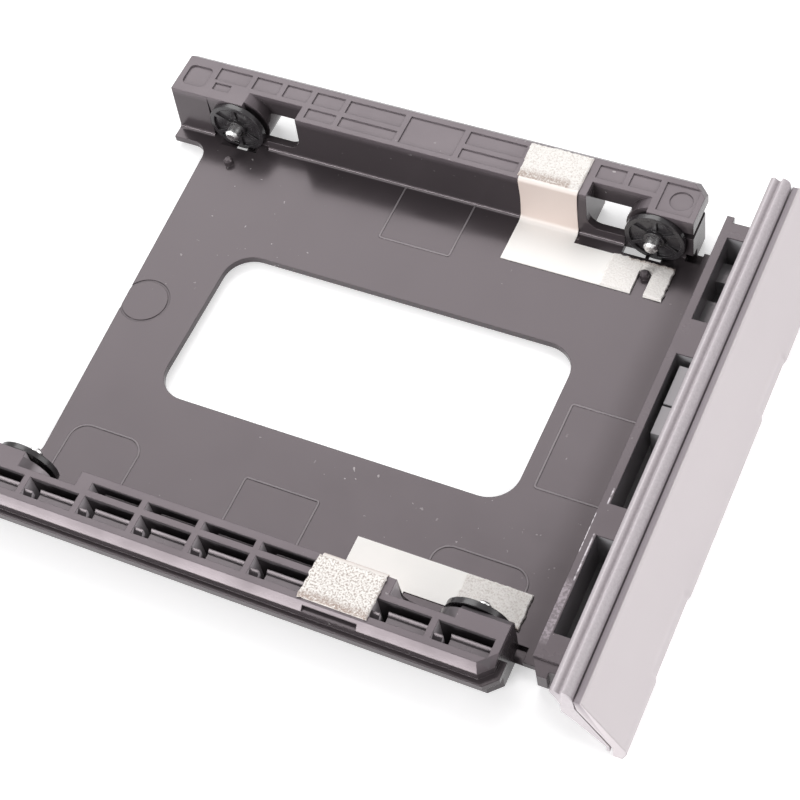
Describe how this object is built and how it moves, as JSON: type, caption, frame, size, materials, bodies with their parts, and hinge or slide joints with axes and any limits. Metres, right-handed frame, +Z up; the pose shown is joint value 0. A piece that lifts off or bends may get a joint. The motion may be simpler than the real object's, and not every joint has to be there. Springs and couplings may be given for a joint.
{
  "type": "hard drive caddy",
  "caption": "Laptop hard drive caddy: a moulded tray with two hollow side rails, rubber mounted drive pins, earthing tapes and a sloping front bezel",
  "frame": {"origin": "centre of the part's bounding box in plan, at the lowest point of the bezel cover, which is the plane of its underside", "axes": "+X from the open connector end towards the bezel, +Y across the bay towards the far rail of the picture, +Z up out of the tray"},
  "size_m": [0.1152, 0.0936, 0.0157],
  "materials": {
    "tray_plastic": "grey violet, satin gloss",
    "bezel_plastic": "pale grey violet, satin",
    "black_rubber": "smooth black",
    "pin_steel": "bright plated steel",
    "tape_cloth": "smooth cream conductive cloth",
    "pad_cloth": "grainy off white conductive cloth"
  },
  "bodies": {
    "root": {"tray": "tray_plastic", "bezel_frame": "bezel_plastic", "bezel_cover": "bezel_plastic", "grommet_rear_far": "black_rubber", "grommet_rear_near": "black_rubber", "grommet_front_far": "black_rubber", "grommet_front_near": "black_rubber", "pin_rear_far": "pin_steel", "pin_rear_near": "pin_steel", "pin_front_far": "pin_steel", "pin_front_near": "pin_steel", "earth_tape_far": "tape_cloth", "earth_tape_near": "tape_cloth", "rail_pad_far": "pad_cloth", "rail_pad_near": "pad_cloth", "floor_pad_far": "pad_cloth", "floor_pad_near": "pad_cloth"}
  },
  "joints": []
}
